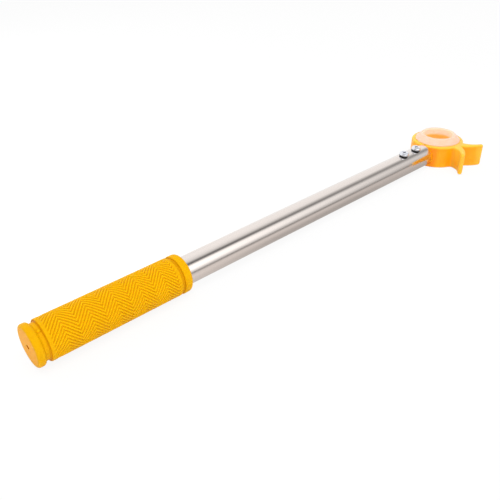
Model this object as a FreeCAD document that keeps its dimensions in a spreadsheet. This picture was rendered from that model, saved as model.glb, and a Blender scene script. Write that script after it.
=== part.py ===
import FreeCAD, Part
import math
import os

import Sketcher

# Driving sizes in millimetres and degrees: alias, value, what it is
SIZES = [
    ("tube_diameter", 22.2, "outside of the steel tube, and height of the head"),
    ("tube_wall", 1.5, "wall of the steel tube"),
    ("eye_to_grip_end", 456.4, "axis of the eye to the closed end of the grip"),
    ("grip_length", 119.7, "grip, end face to inner face"),
    ("grip_end_wall", 4.0, "rubber between the end face and the tube"),
    ("grip_fit", 0.05, "radial gap between grip and tube"),
    ("grip_diameter", 30.0, "ribbed part of the grip"),
    ("end_flange_diameter", 30.6, "flange at the closed end"),
    ("end_flange_width", 5.4, "flange at the closed end, along the tube"),
    ("end_flange_round", 1.8, "round of the end face"),
    ("flange_back_round", 1.7, "round of the end flange, on the groove side"),
    ("end_groove_depth", 1.8, "groove behind the end flange"),
    ("end_groove_width", 3.7, "groove behind the end flange"),
    ("inner_bead_diameter", 30.2, "bead at the open end"),
    ("inner_bead_width", 7.0, "bead at the open end, along the tube"),
    ("inner_bead_round", 2.4, "round of the bead on the tube side"),
    ("inner_groove_depth", 1.3, "groove before the bead"),
    ("inner_groove_width", 2.2, "groove before the bead"),
    ("grip_edge_round", 0.8, "rounds of the groove edges"),
    ("vent_diameter", 3.0, "air hole in the end face"),
    ("nub_diameter", 2.6, "moulded nub in the end groove"),
    ("nub_lean", 24.0, "angle of the nub from the top, towards the fork side"),
    ("ring_diameter", 52.2, "outside of the head's ring"),
    ("rim_round", 1.8, "round of the head's outer edges"),
    ("spigot_length", 50.0, "part of the head inside the tube"),
    ("spigot_fit", 0.15, "radial gap between spigot and tube"),
    ("spigot_chamfer", 1.0, "lead-in at the spigot's end"),
    ("fork_tip_reach", 14.2, "ring wall to the centre of an ear's tip"),
    ("fork_tip_offset", 17.3, "fork's middle to the centre of an ear's tip"),
    ("ear_tip_diameter", 4.4, "thickness of an ear at its rounded tip"),
    ("ear_root_offset", 8.5, "fork's middle to the outer side of an ear at the wall"),
    ("ear_outer_radius", 19.7, "hollow curve of an ear's outer side"),
    ("ear_mouth_radius", 35.0, "full curve of an ear's mouth side"),
    ("mouth_floor", 1.6, "ring wall to the bottom of the mouth"),
    ("root_round", 3.0, "hollow corner between an ear and the ring"),
    ("mouth_round", 1.5, "hollow corner at the bottom of the mouth"),
    ("eye_bore", 30.0, "clear hole through the liner"),
    ("sleeve_wall", 3.0, "wall of the liner inside the ring"),
    ("sleeve_fit", 0.1, "radial gap between liner and ring"),
    ("sleeve_recess", 0.5, "liner's lower edge above the ring's underside"),
    ("lip_diameter", 45.0, "foot of the liner's lip on the rim"),
    ("lip_edge", 0.8, "thickness of the lip at its foot"),
    ("lip_rise", 6.0, "crest of the lip above the rim"),
    ("crest_diameter", 34.2, "crest of the lip"),
    ("crest_round", 0.9, "rounds of the crest"),
    ("front_screw_setback", 15.8, "tube's front end to the front screw"),
    ("screw_pitch", 20.5, "front screw to rear screw"),
    ("screw_lean", 7.5, "angle of the screws from the top, towards the fork side"),
    ("screw_diameter", 5.0, "screw shank"),
    ("screw_length", 16.0, "screw under its head"),
    ("screw_head_diameter", 9.4, "pan head"),
    ("screw_head_height", 2.4, "pan head"),
    ("screw_head_round", 1.8, "round of the pan head"),
    ("washer_diameter", 9.2, "washer under a screw's head"),
    ("washer_bore", 5.4, "hole of the washer"),
    ("washer_thickness", 1.2, "washer"),
    ("screw_point", 0.6, "chamfer at the screw's end"),
    ("screw_hole_diameter", 5.5, "holes in tube and spigot"),
    ("recess_span", 4.8, "cross recess, tip to tip"),
    ("recess_slot", 1.3, "cross recess, slot width"),
    ("recess_depth", 1.6, "cross recess"),
    ("nut_width", 8.0, "nut across its flats"),
    ("nut_height", 4.7, "nut"),
    ("nut_seat", 2.0, "nut's bearing face above the tube's axis"),
    ("nut_pocket_fit", 0.3, "pocket wider than the nut"),
    ("thread_fit", 0.05, "radial gap between nut and screw"),
]

X_AXIS = FreeCAD.Vector(1, 0, 0)
MATCH = 1e-4


class Size:
    """A length or angle: its value, and the sheet expression that gives it."""

    def __init__(self, text, value):
        self.text = text
        self.value = value

    def __add__(self, other):
        other = as_size(other)
        return Size(f"({self.text} + {other.text})", self.value + other.value)

    def __sub__(self, other):
        other = as_size(other)
        return Size(f"({self.text} - {other.text})", self.value - other.value)

    def __mul__(self, factor):
        factor = as_size(factor)
        return Size(f"({self.text} * {factor.text})", self.value * factor.value)

    def __truediv__(self, factor):
        factor = as_size(factor)
        return Size(f"({self.text} / {factor.text})", self.value / factor.value)

    def __neg__(self):
        return Size(f"(-1 * {self.text})", -self.value)

    def cos(self):
        return Size(f"cos({self.text})", math.cos(math.radians(self.value)))

    def sin(self):
        return Size(f"sin({self.text})", math.sin(math.radians(self.value)))


def as_size(number):
    """A plain number as a Size, so that both can be mixed."""
    if isinstance(number, Size):
        return number
    return Size(repr(float(number)), float(number))


def bind(item, path, size):
    """Set a property from the sheet, so that it follows the sheet's cell."""
    item.setExpression(path, size.text)


def make_sheet(doc):
    """The sheet of driving sizes, and each one as a Size."""
    sheet = doc.addObject("Spreadsheet::Sheet", "dims")
    sizes = {}
    for row, (alias, value, note) in enumerate(SIZES, start=1):
        sheet.set(f"A{row}", alias)
        sheet.set(f"B{row}", str(value))
        sheet.set(f"C{row}", note)
        sheet.setAlias(f"B{row}", alias)
        sizes[alias] = Size(f"dims.{alias}", value)
    doc.recompute()
    return sizes


def new_body(doc, label):
    """An empty body whose label names the sub-part."""
    body = doc.addObject("PartDesign::Body", label)
    body.Label = label
    return body


def origin_part(body, role):
    """A plane or axis of the body's own origin."""
    for feature in body.Origin.OriginFeatures:
        if feature.Role == role:
            return feature
    raise ValueError(role)


def new_sketch(body, name, role):
    """An empty sketch on one of the body's origin planes."""
    sketch = body.newObject("Sketcher::SketchObject", name)
    sketch.AttachmentSupport = [(origin_part(body, role), "")]
    sketch.MapMode = "FlatFace"
    return sketch


def raise_sketch(sketch, height):
    """Move a sketch along its own normal."""
    sketch.AttachmentOffset = FreeCAD.Placement(FreeCAD.Vector(0, 0, height.value), FreeCAD.Rotation())
    bind(sketch, "AttachmentOffset.Base.z", height)


def lean_sketch(sketch, lean):
    """Turn a sketch about the tube's axis, to the angle of the screws."""
    turn = FreeCAD.Rotation(X_AXIS, lean.value)
    sketch.AttachmentOffset = FreeCAD.Placement(FreeCAD.Vector(), turn)
    bind(sketch, "AttachmentOffset.Rotation.Angle", lean)


def constrain(sketch, kind, *places, size):
    """Add one dimension to a sketch and tie it to the sheet."""
    index = sketch.addConstraint(Sketcher.Constraint(kind, *places, size.value))
    bind(sketch, f"Constraints[{index}]", size)


def fix_point(sketch, line, end, x, y):
    """Hold one end of a sketch line at a point measured from the sketch's origin."""
    for kind, size, axis in (("DistanceX", x, -2), ("DistanceY", y, -1)):
        if size.value == 0:
            sketch.addConstraint(Sketcher.Constraint("PointOnObject", line, end, axis))
        else:
            constrain(sketch, kind, -1, 1, line, end, size=size)


def outline(sketch, corners):
    """A closed outline of straight lines through corners given as pairs of Size."""
    corners = [(as_size(x), as_size(y)) for x, y in corners]
    points = [FreeCAD.Vector(x.value, y.value, 0) for x, y in corners]
    count = len(points)
    for index in range(count):
        sketch.addGeometry(Part.LineSegment(points[index], points[(index + 1) % count]))
    for index in range(count):
        sketch.addConstraint(Sketcher.Constraint("Coincident", index, 2, (index + 1) % count, 1))
    for index, (x, y) in enumerate(corners):
        fix_point(sketch, index, 1, x, y)


def circle(sketch, diameter, x=0, y=0):
    """A circle whose centre is measured from the sketch's origin."""
    x, y = as_size(x), as_size(y)
    centre = FreeCAD.Vector(x.value, y.value, 0)
    index = sketch.addGeometry(Part.Circle(centre, FreeCAD.Vector(0, 0, 1), diameter.value / 2))
    constrain(sketch, "Diameter", index, size=diameter)
    fix_point(sketch, index, 3, x, y)


def revolve(body, sketch, axis):
    """Turn a sketch through a full circle about one of its own axes."""
    feature = body.newObject("PartDesign::Revolution", sketch.Name + "_turn")
    feature.Profile = sketch
    feature.ReferenceAxis = (sketch, [axis])
    feature.Angle = 360
    return feature


def extrude(body, kind, sketch, length, back=False, sides="One side"):
    """Pad or Pocket a sketch by a length that follows the sheet."""
    feature = body.newObject("PartDesign::" + kind, sketch.Name + "_" + kind.lower())
    feature.Profile = sketch
    feature.SideType = sides
    feature.Reversed = back
    bind(feature, "Length", length)
    return feature


def round_edges(doc, body, radius, wanted):
    """Fillet the edges of the body that a test picks out."""
    doc.recompute()
    base = body.Tip
    names = [f"Edge{i}" for i, edge in enumerate(base.Shape.Edges, start=1) if wanted(edge)]
    if not names:
        raise ValueError(f"no edge to round on {body.Label}")
    feature = body.newObject("PartDesign::Fillet", f"{body.Label}_round")
    feature.Base = (base, names)
    bind(feature, "Radius", radius)
    doc.recompute()


def is_circle(edge, diameter, centre):
    """True for a full circle of this diameter about this centre."""
    curve = edge.Curve
    if not edge.isClosed() or not isinstance(curve, Part.Circle):
        return False
    same_size = abs(2 * curve.Radius - diameter.value) < MATCH
    return same_size and (curve.Center - centre).Length < MATCH


def is_upright(edge, x, y):
    """True for a straight vertical edge through this point of the plan."""
    start, end = edge.Vertexes[0].Point, edge.Vertexes[-1].Point
    if abs(start.z - end.z) < 1:
        return False
    return all(math.hypot(abs(p.x) - x, p.y - y) < MATCH for p in (start, end))


def check_cut(doc, body, volume_before):
    """A pocket that points away from the solid takes nothing off, so the volume is compared."""
    doc.recompute()
    if body.Shape.Volume > volume_before - 1e-3:
        raise ValueError(f"a pocket of {body.Label} cut nothing")


def pocket(doc, body, sketch, length, back=False, sides="One side"):
    """A Pocket that is known to have cut something."""
    doc.recompute()
    before = body.Shape.Volume
    feature = extrude(body, "Pocket", sketch, length, back, sides)
    check_cut(doc, body, before)
    return feature


def screw_stations(s):
    """Place of each screw along the tube, by name."""
    front = -(s["ring_diameter"] / 2 + s["front_screw_setback"])
    return {"front": front, "rear": front - s["screw_pitch"]}


def make_tube(doc, s):
    """Steel tube from inside the grip to the ring, with the two screw holes."""
    body = new_body(doc, "steel_tube")
    front = s["ring_diameter"] / 2
    section = new_sketch(body, "tube_section", "YZ_Plane")
    raise_sketch(section, -front)
    circle(section, s["tube_diameter"])
    circle(section, s["tube_diameter"] - s["tube_wall"] * 2)
    extrude(body, "Pad", section, s["eye_to_grip_end"] - s["grip_end_wall"] - front, back=True)
    holes = new_sketch(body, "tube_screw_holes", "XY_Plane")
    lean_sketch(holes, s["screw_lean"])
    for station in screw_stations(s).values():
        circle(holes, s["screw_hole_diameter"], station)
    pocket(doc, body, holes, s["tube_diameter"], back=True)
    return body


def make_grip(doc, s):
    """Rubber grip: closed and flanged at its end, grooved, with a bead at its open end."""
    body = new_body(doc, "rubber_grip")
    end = -s["eye_to_grip_end"]
    collar = end + s["end_flange_width"] + s["end_groove_width"]
    mouth = end + s["grip_length"]
    bead = mouth - s["inner_bead_width"]
    ribbed_end = bead - s["inner_groove_width"]
    vent = s["vent_diameter"] / 2
    bore = s["tube_diameter"] / 2 + s["grip_fit"]
    flange = s["end_flange_diameter"] / 2
    ribbed = s["grip_diameter"] / 2
    end_groove = ribbed - s["end_groove_depth"]
    inner_groove = ribbed - s["inner_groove_depth"]
    bead_radius = s["inner_bead_diameter"] / 2
    flange_back = end + s["end_flange_width"]
    profile = new_sketch(body, "grip_profile", "XZ_Plane")
    outline(profile, [
        (end, vent), (end, flange), (flange_back, flange), (flange_back, end_groove),
        (collar, end_groove), (collar, ribbed), (ribbed_end, ribbed), (ribbed_end, inner_groove),
        (bead, inner_groove), (bead, bead_radius), (mouth, bead_radius), (mouth, bore),
        (end + s["grip_end_wall"], bore), (end + s["grip_end_wall"], vent)])
    revolve(body, profile, "H_Axis")
    rounds = [
        ("end_flange_round", "end_flange_diameter", [end]),
        ("inner_bead_round", "inner_bead_diameter", [mouth]),
        ("flange_back_round", "end_flange_diameter", [flange_back]),
        ("grip_edge_round", "grip_diameter", [collar, ribbed_end]),
        ("grip_edge_round", "inner_bead_diameter", [bead])]
    for radius, diameter, stations in rounds:
        centres = [X_AXIS * station.value for station in stations]
        round_edges(doc, body, s[radius], lambda edge: any(
            is_circle(edge, s[diameter], centre) for centre in centres))
    nub = body.newObject("PartDesign::AdditiveSphere", "grip_nub")
    bind(nub, "Radius", s["nub_diameter"] / 2)
    bind(nub, "Placement.Base.x", flange_back + s["end_groove_width"] / 2)
    bind(nub, "Placement.Base.y", -(end_groove * s["nub_lean"].sin()))
    bind(nub, "Placement.Base.z", end_groove * s["nub_lean"].cos())
    return body


def circle_through(start, tip, radius, reach, side):
    """Centre of the arc of this radius through start, whose own centre lies reach from the tip."""
    along = tip - start
    gap = along.Length
    along.normalize()
    across = FreeCAD.Vector(-along.y, along.x, 0) * side
    step = (radius ** 2 - reach ** 2 + gap ** 2) / (2 * gap)
    return start + along * step + across * math.sqrt(radius ** 2 - step ** 2)


def arc_between(centre, start, end):
    """The anticlockwise arc about centre from start to end."""
    whole = Part.Circle(centre, FreeCAD.Vector(0, 0, 1), (start - centre).Length)
    return Part.ArcOfCircle(whole, whole.parameter(start), whole.parameter(end))


def draw_ear(sketch, s):
    """Plan of the ear at +X, down the middle of the mouth, out along both curves to the tip."""
    wall = s["ring_diameter"] / 2
    inside = -(wall - s["sleeve_wall"])
    floor = -(wall + s["mouth_floor"])
    tip_x, tip_y = s["fork_tip_offset"], -(wall + s["fork_tip_reach"])
    tip_radius = s["ear_tip_diameter"].value / 2
    tip = FreeCAD.Vector(tip_x.value, tip_y.value, 0)
    outer_start = FreeCAD.Vector(s["ear_root_offset"].value, inside.value, 0)
    mouth_start = FreeCAD.Vector(0, floor.value, 0)
    outer_radius, mouth_radius = s["ear_outer_radius"], s["ear_mouth_radius"]
    outer_centre = circle_through(
        outer_start, tip, outer_radius.value, outer_radius.value + tip_radius, 1)
    mouth_centre = circle_through(
        mouth_start, tip, mouth_radius.value, mouth_radius.value - tip_radius, 1)
    outer_end = outer_centre + (tip - outer_centre).normalize() * outer_radius.value
    mouth_end = mouth_centre + (tip - mouth_centre).normalize() * mouth_radius.value
    middle_top = FreeCAD.Vector(0, inside.value, 0)
    sketch.addGeometry(Part.LineSegment(middle_top, mouth_start))
    sketch.addGeometry(arc_between(mouth_centre, mouth_start, mouth_end))
    sketch.addGeometry(arc_between(tip, mouth_end, outer_end))
    sketch.addGeometry(arc_between(outer_centre, outer_start, outer_end))
    sketch.addGeometry(Part.LineSegment(outer_start, middle_top))
    joins = [(0, 2, 1, 1), (1, 2, 2, 1), (2, 2, 3, 2), (3, 1, 4, 1), (4, 2, 0, 1)]
    for kind, places in zip(("Coincident", "Tangent", "Tangent", "Coincident", "Coincident"), joins):
        sketch.addConstraint(Sketcher.Constraint(kind, *places))
    constrain(sketch, "Radius", 1, size=mouth_radius)
    constrain(sketch, "Radius", 2, size=s["ear_tip_diameter"] / 2)
    constrain(sketch, "Radius", 3, size=outer_radius)
    fix_point(sketch, 2, 3, tip_x, tip_y)
    fix_point(sketch, 0, 1, as_size(0), inside)
    fix_point(sketch, 0, 2, as_size(0), floor)
    fix_point(sketch, 3, 1, s["ear_root_offset"], inside)


def make_head(doc, s):
    """Moulded head: ring, two ears that form the mouth, and the spigot inside the tube."""
    body = new_body(doc, "head_housing")
    height = s["tube_diameter"]
    ring_radius = s["ring_diameter"] / 2
    ring = new_sketch(body, "ring_plan", "XY_Plane")
    circle(ring, s["ring_diameter"])
    extrude(body, "Pad", ring, height, sides="Symmetric")
    ear = new_sketch(body, "ear_plan", "XY_Plane")
    draw_ear(ear, s)
    ear_pad = extrude(body, "Pad", ear, height, sides="Symmetric")
    mirrored = body.newObject("PartDesign::Mirrored", "second_ear")
    mirrored.Originals = [ear_pad]
    mirrored.MirrorPlane = (origin_part(body, "YZ_Plane"), [""])
    body.Tip = mirrored
    doc.recompute()
    root = ear_root_point(s)
    round_edges(doc, body, s["root_round"], lambda edge: is_upright(edge, root.x, root.y))
    floor = -(ring_radius + s["mouth_floor"])
    round_edges(doc, body, s["mouth_round"], lambda edge: is_upright(edge, 0, floor.value))
    half = height.value / 2
    round_edges(doc, body, s["rim_round"], lambda edge: all(
        abs(abs(edge.valueAt(u).z) - half) < MATCH for u in edge.ParameterRange))
    shoulder = new_sketch(body, "shoulder_section", "YZ_Plane")
    circle(shoulder, s["tube_diameter"])
    extrude(body, "Pad", shoulder, ring_radius, back=True)
    spigot = new_sketch(body, "spigot_section", "YZ_Plane")
    spigot_diameter = s["tube_diameter"] - s["tube_wall"] * 2 - s["spigot_fit"] * 2
    circle(spigot, spigot_diameter)
    extrude(body, "Pad", spigot, ring_radius + s["spigot_length"], back=True)
    eye = new_sketch(body, "eye_plan", "XY_Plane")
    circle(eye, s["eye_bore"] + s["sleeve_wall"] * 2 + s["sleeve_fit"] * 2)
    pocket(doc, body, eye, height * 2, sides="Symmetric")
    holes = new_sketch(body, "spigot_screw_holes", "XY_Plane")
    lean_sketch(holes, s["screw_lean"])
    nuts = new_sketch(body, "spigot_nut_pockets", "XY_Plane")
    lean_sketch(nuts, s["screw_lean"])
    for index, station in enumerate(screw_stations(s).values()):
        circle(holes, s["screw_hole_diameter"], station)
        hexagon(nuts, s["nut_width"] + s["nut_pocket_fit"], station, index)
    pocket(doc, body, holes, height, back=True)
    nut_pockets = pocket(doc, body, nuts, height)
    nut_pockets.SideType = "Two sides"
    nut_pockets.Type2 = "Length"
    bind(nut_pockets, "Length2", s["nut_seat"])
    chamfer_spigot(doc, body, s, spigot_diameter)
    return body


def ear_root_point(s):
    """Where an ear's outer curve leaves the ring's wall, in plan."""
    wall = s["ring_diameter"].value / 2
    inside = -(wall - s["sleeve_wall"].value)
    tip = FreeCAD.Vector(s["fork_tip_offset"].value, -(wall + s["fork_tip_reach"].value), 0)
    start = FreeCAD.Vector(s["ear_root_offset"].value, inside, 0)
    radius = s["ear_outer_radius"].value
    centre = circle_through(start, tip, radius, radius + s["ear_tip_diameter"].value / 2, 1)
    ring = Part.Circle(FreeCAD.Vector(), FreeCAD.Vector(0, 0, 1), wall).toShape()
    curve = Part.Circle(centre, FreeCAD.Vector(0, 0, 1), radius).toShape()
    touching = [point for pair in ring.distToShape(curve)[1] for point in pair[:1]]
    return min(touching, key=lambda point: (point - start).Length)


def hexagon(sketch, width, x, order):
    """A hexagon with two flats across the tube, six lines held about its centre."""
    first = 6 * order
    reach = width / math.sqrt(3)
    corners = []
    for corner in range(6):
        angle = math.radians(60 * corner)
        corners.append((x + reach * math.cos(angle), reach * math.sin(angle)))
    points = [FreeCAD.Vector(a.value, b.value, 0) for a, b in corners]
    for index in range(6):
        sketch.addGeometry(Part.LineSegment(points[index], points[(index + 1) % 6]))
    for index in range(6):
        sketch.addConstraint(
            Sketcher.Constraint("Coincident", first + index, 2, first + (index + 1) % 6, 1))
    for index, (a, b) in enumerate(corners):
        level = as_size(0) if abs(b.value) < MATCH else b
        fix_point(sketch, first + index, 1, a, level)


def chamfer_spigot(doc, body, s, diameter):
    """Lead-in round the spigot's free end."""
    doc.recompute()
    end = -(s["ring_diameter"].value / 2 + s["spigot_length"].value)
    base = body.Tip
    names = [f"Edge{i}" for i, edge in enumerate(base.Shape.Edges, start=1)
             if is_circle(edge, diameter, X_AXIS * end)]
    feature = body.newObject("PartDesign::Chamfer", "spigot_lead_in")
    feature.Base = (base, names)
    bind(feature, "Size", s["spigot_chamfer"])


def make_liner(doc, s):
    """Soft liner: a sleeve in the ring, and a lip that slopes up to a crest above the rim."""
    body = new_body(doc, "ring_liner")
    rim = s["tube_diameter"] / 2
    bore = s["eye_bore"] / 2
    sleeve = bore + s["sleeve_wall"]
    foot = -rim + s["sleeve_recess"]
    top = rim + s["lip_rise"]
    crest, lip = s["crest_diameter"] / 2, s["lip_diameter"] / 2
    profile = new_sketch(body, "liner_profile", "XZ_Plane")
    outline(profile, [
        (bore, foot), (sleeve, foot), (sleeve, rim), (lip, rim), (lip, rim + s["lip_edge"]),
        (crest, top), (bore, top)])
    revolve(body, profile, "V_Axis")
    centre = FreeCAD.Vector(0, 0, top.value)
    round_edges(doc, body, s["crest_round"], lambda edge: any(
        is_circle(edge, s[name], centre) for name in ("eye_bore", "crest_diameter")))
    return body


def place_on_screw_line(item, station, lean):
    """Stand a piece that is made upright on the tube's axis at a screw's place and lean."""
    item.Placement = FreeCAD.Placement(
        FreeCAD.Vector(station.value, 0, 0), FreeCAD.Rotation(X_AXIS, lean.value))
    bind(item, "Placement.Base.x", station)
    bind(item, "Placement.Rotation.Angle", lean)


def make_screw(doc, s, name, station):
    """Pan-head screw with a cross recess, seated on its washer."""
    body = new_body(doc, f"{name}_screw")
    seat = s["tube_diameter"] / 2 + s["washer_thickness"]
    shank, head = s["screw_diameter"] / 2, s["screw_head_diameter"] / 2
    end = seat - s["screw_length"]
    top = seat + s["screw_head_height"]
    point = s["screw_point"]
    profile = new_sketch(body, f"{name}_screw_profile", "XZ_Plane")
    outline(profile, [
        (0, end), (shank - point, end), (shank, end + point), (shank, seat), (head, seat),
        (head, top), (0, top)])
    revolve(body, profile, "V_Axis")
    crown = FreeCAD.Vector(0, 0, top.value)
    round_edges(doc, body, s["screw_head_round"], lambda edge: is_circle(
        edge, s["screw_head_diameter"], crown))
    recess = new_sketch(body, f"{name}_screw_recess", "XY_Plane")
    raise_sketch(recess, top)
    span, slot = s["recess_span"] / 2, s["recess_slot"] / 2
    outline(recess, [
        (span, -slot), (span, slot), (slot, slot), (slot, span), (-slot, span), (-slot, slot),
        (-span, slot), (-span, -slot), (-slot, -slot), (-slot, -span), (slot, -span), (slot, -slot)])
    pocket(doc, body, recess, s["recess_depth"])
    place_on_screw_line(body, station, s["screw_lean"])
    return body


def make_washer(doc, s, name, station):
    """Flat washer between a screw's head and the tube."""
    body = new_body(doc, f"{name}_washer")
    foot = s["tube_diameter"] / 2
    plan = new_sketch(body, f"{name}_washer_plan", "XY_Plane")
    raise_sketch(plan, foot)
    circle(plan, s["washer_diameter"])
    circle(plan, s["washer_bore"])
    extrude(body, "Pad", plan, s["washer_thickness"])
    place_on_screw_line(body, station, s["screw_lean"])
    return body


def make_nut(doc, s, name, station):
    """Hexagon nut in its pocket of the spigot."""
    foot = s["nut_seat"] - s["nut_height"]
    block = doc.addObject("Part::Prism", f"{name}_nut_block")
    block.Polygon = 6
    bind(block, "Circumradius", s["nut_width"] / math.sqrt(3))
    bind(block, "Height", s["nut_height"])
    bind(block, "Placement.Base.z", foot)
    bore = doc.addObject("Part::Cylinder", f"{name}_nut_bore")
    bind(bore, "Radius", s["screw_diameter"] / 2 + s["thread_fit"])
    bind(bore, "Height", s["nut_height"] * 3)
    bind(bore, "Placement.Base.z", foot - s["nut_height"])
    nut = doc.addObject("Part::Cut", f"{name}_nut")
    nut.Base = block
    nut.Tool = bore
    nut.Label = f"{name}_nut"
    place_on_screw_line(nut, station, s["screw_lean"])
    return nut


def check_document(doc, parts):
    """Stop if any object failed or any sub-part isn't one whole valid solid."""
    for item in doc.Objects:
        if "Invalid" in item.State or "Error" in item.State:
            raise ValueError(f"{item.Label} failed: {item.State}")
    for item in parts:
        if item.Shape.isNull() or not item.Shape.isValid() or len(item.Shape.Solids) != 1:
            raise ValueError(f"{item.Label} is not one valid solid")


def main():
    doc = FreeCAD.newDocument("tow_bar")
    s = make_sheet(doc)
    parts = [make_tube(doc, s), make_grip(doc, s), make_head(doc, s), make_liner(doc, s)]
    for name, station in screw_stations(s).items():
        parts.append(make_screw(doc, s, name, station))
        parts.append(make_washer(doc, s, name, station))
        parts.append(make_nut(doc, s, name, station))
    doc.recompute()
    check_document(doc, parts)
    os.makedirs("parts", exist_ok=True)
    for item in parts:
        item.Shape.exportStep(f"parts/{item.Label}.step")
        print(item.Label, round(item.Shape.Volume, 1))


main()
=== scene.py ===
import math

import bmesh
import bpy
import numpy as np
from bpy.props import FloatProperty, FloatVectorProperty, IntProperty, PointerProperty
from mathutils import Matrix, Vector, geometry


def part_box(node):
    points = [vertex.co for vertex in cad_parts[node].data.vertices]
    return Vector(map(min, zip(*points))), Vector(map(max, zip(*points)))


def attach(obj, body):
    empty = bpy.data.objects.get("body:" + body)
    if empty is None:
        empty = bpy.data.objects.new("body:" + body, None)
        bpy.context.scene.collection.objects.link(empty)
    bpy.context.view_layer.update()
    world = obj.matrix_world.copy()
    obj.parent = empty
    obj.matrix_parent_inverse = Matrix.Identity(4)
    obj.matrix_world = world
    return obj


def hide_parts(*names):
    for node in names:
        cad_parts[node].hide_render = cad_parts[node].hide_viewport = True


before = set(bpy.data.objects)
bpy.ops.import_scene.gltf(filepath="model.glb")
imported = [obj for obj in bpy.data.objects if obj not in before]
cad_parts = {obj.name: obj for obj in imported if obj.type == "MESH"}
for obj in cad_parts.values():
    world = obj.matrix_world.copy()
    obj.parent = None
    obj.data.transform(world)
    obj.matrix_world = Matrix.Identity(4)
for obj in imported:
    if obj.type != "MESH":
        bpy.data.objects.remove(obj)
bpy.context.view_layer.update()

bl_info = {
    "name": "Hand tow bar",
    "version": (1, 0, 0),
    "blender": (4, 5, 0),
    "location": "3D View > Sidebar > Tow bar",
    "description": "Dresses the tow bar: grip, tube, moulded head, soft liner, screws and washers",
    "category": "Object",
}

BODY = "root"


def cad_box(node):
    """Lowest and highest corner of a CAD node, as arrays in metres."""
    low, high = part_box(node)
    return np.array(low), np.array(high)


GRIP_LOW, GRIP_HIGH = cad_box("rubber_grip")
TUBE_LOW, TUBE_HIGH = cad_box("steel_tube")
HEAD_LOW, HEAD_HIGH = cad_box("head_housing")
LINER_LOW, LINER_HIGH = cad_box("ring_liner")


def share(name, default, description, low=0.0, unit="NONE"):
    """A plain factor, or another number with its unit and lowest value."""
    return FloatProperty(name=name, description=description, default=float(default), unit=unit,
                         precision=5, min=low)


def length(name, default, description):
    """A length in metres."""
    return share(name, default, description, unit="LENGTH")


def place(name, default, description):
    """A coordinate in metres, which may be negative."""
    return share(name, default, description, low=-10.0, unit="LENGTH")


def turn(name, degrees, description):
    """An angle."""
    return share(name, math.radians(degrees), description, low=-math.pi, unit="ROTATION")


def paint(name, default, description):
    """A colour, as light values."""
    return FloatVectorProperty(name=name, description=description, default=default, size=3,
                               subtype="COLOR", min=0.0, max=1.0)


class GripSettings(bpy.types.PropertyGroup):
    """Sizes and colours of the rubber grip."""
    end: place("End", GRIP_LOW[0], "Closed end of the grip")
    mouth: place("Mouth", GRIP_HIGH[0], "Open end of the grip")
    end_wall: length("End wall", 0.0040, "From the end face to the tube")
    bore: length("Bore radius", 0.01115, "Inside, just round the tube")
    vent: length("Vent radius", 0.0015, "Air hole in the end face")
    flange: length("Flange radius", GRIP_HIGH[2], "Flange at the closed end")
    flange_width: length("Flange width", 0.0054, "Along the tube")
    groove_radius: length("End groove radius", 0.0132, "Groove behind the flange")
    groove_width: length("End groove width", 0.0037, "Along the tube")
    crest: length("Crest radius", 0.0150, "Top of the ribs and plain margins")
    rib_depth: length("Rib depth", 0.00055, "Valleys between the ribs")
    rib_count: IntProperty(name="Ribs", description="Ribs round the grip", default=33, min=3)
    rib_slope: share("Rib slope", 1.10, "Travel round for each unit along")
    zigzag: length("Zigzag", 0.0191, "Length of one zigzag")
    peak: place("First peak", -0.4354, "A peak of the zigzag")
    rib_phase: turn("Rib phase", 118.9, "Start of a rib in its own wave")
    ribs_from: place("Ribs from", -0.4449, "Start of the ribs")
    ribs_to: place("Ribs to", -0.3478, "End of the ribs")
    inner_groove: place("Inner groove", -0.3459, "Groove before the bead")
    inner_groove_radius: length("Inner groove radius", 0.0137, "Bottom of that groove")
    bead_from: place("Bead", -0.3437, "Bead at the open end")
    bead: length("Bead radius", 0.0151, "Bead at the open end")
    nub: length("Nub radius", 0.0013, "Moulded nub in the end groove")
    nub_lean: turn("Nub lean", 24.0, "From the top, towards the fork side")
    rubber: paint("Rubber", (0.775, 0.408, 0.0), "Yellow rubber")
    # Painted shade: darker rubber for the valleys, grooves and plain margins; also the darker end of the
    # random tone
    rubber_shade_and_tone: paint("Rubber in the valleys", (0.63, 0.285, 0.0), "Rubber between the ribs")
    # Painted light: a paler end face, where light falls on it
    end_face_painted_light: paint("End face", (0.86, 0.375, 0.036), "Paler skin")
    inside: paint("Rubber in the vent", (0.50, 0.15, 0.0), "Unlit rubber")


class TubeSettings(bpy.types.PropertyGroup):
    """Sizes and colours of the steel tube."""
    back: place("Back end", TUBE_LOW[0], "End inside the grip")
    front: place("Front end", TUBE_HIGH[0], "End at the head")
    radius: length("Radius", TUBE_HIGH[2], "Outside")
    wall: length("Wall", 0.0015, "Thickness")
    edge: length("Edge break", 0.0002, "Broken edges at both ends")
    steel: paint("Steel", (0.80, 0.745, 0.715), "Polished stainless steel")
    steel_shade: paint("Steel in the brush lines", (0.785, 0.73, 0.70), "Fine lines across the tube")


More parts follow.
